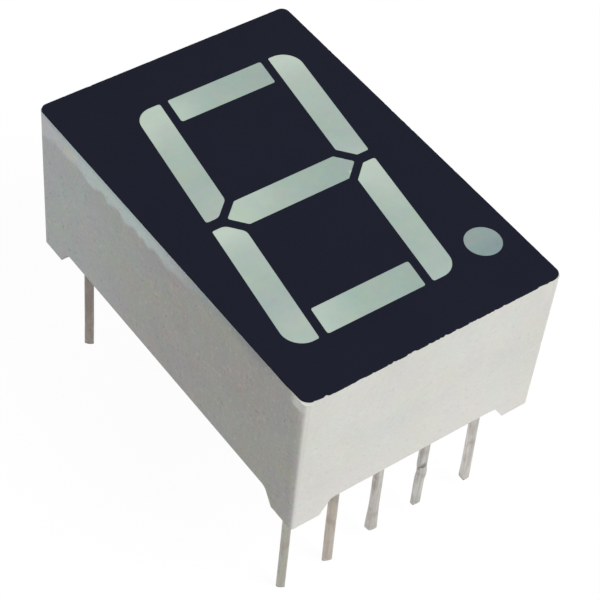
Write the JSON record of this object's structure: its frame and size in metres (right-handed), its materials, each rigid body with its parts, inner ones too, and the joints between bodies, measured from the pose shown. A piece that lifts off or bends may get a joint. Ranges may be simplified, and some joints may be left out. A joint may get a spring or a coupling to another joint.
{
  "type": "seven segment display",
  "caption": "LED numeral display in a white moulded body on corner feet, with a black face, slanted milky segments and a decimal point, standing on rows of round tinned pins.",
  "frame": {"origin": "middle of the seating plane under the four corner feet, which is also the middle of the pin grid", "axes": "+Z out of the face, +Y up the digit, +X to the right of the digit; the pins run down along -Z"},
  "size_m": [0.0126, 0.019, 0.0151],
  "materials": {
    "white_moulding": "satin",
    "black_coat": "satin",
    "milky_resin": "satin",
    "potting": "gloss",
    "board_laminate": "satin",
    "copper": "satin",
    "chip_crystal": "gloss",
    "bond_gold": "gloss",
    "tinned_wire": "satin"
  },
  "bodies": {
    "root": {"reflector_housing": "white_moulding", "black_face": "black_coat", "segment_a": "milky_resin", "segment_b": "milky_resin", "segment_c": "milky_resin", "segment_d": "milky_resin", "segment_e": "milky_resin", "segment_f": "milky_resin", "segment_g": "milky_resin", "decimal_point": "milky_resin", "circuit_board": "board_laminate", "copper_tracks": "copper", "led_chip_a": "chip_crystal", "led_chip_b": "chip_crystal", "led_chip_c": "chip_crystal", "led_chip_d": "chip_crystal", "led_chip_e": "chip_crystal", "led_chip_f": "chip_crystal", "led_chip_g": "chip_crystal", "led_chip_dp": "chip_crystal", "bond_wire_a": "bond_gold", "bond_wire_b": "bond_gold", "bond_wire_c": "bond_gold", "bond_wire_d": "bond_gold", "bond_wire_e": "bond_gold", "bond_wire_f": "bond_gold", "bond_wire_g": "bond_gold", "bond_wire_dp": "bond_gold", "potting_resin": "potting", "pin_1": "tinned_wire", "pin_2": "tinned_wire", "pin_3": "tinned_wire", "pin_4": "tinned_wire", "pin_5": "tinned_wire", "pin_6": "tinned_wire", "pin_7": "tinned_wire", "pin_8": "tinned_wire", "pin_9": "tinned_wire", "pin_10": "tinned_wire"}
  },
  "joints": []
}
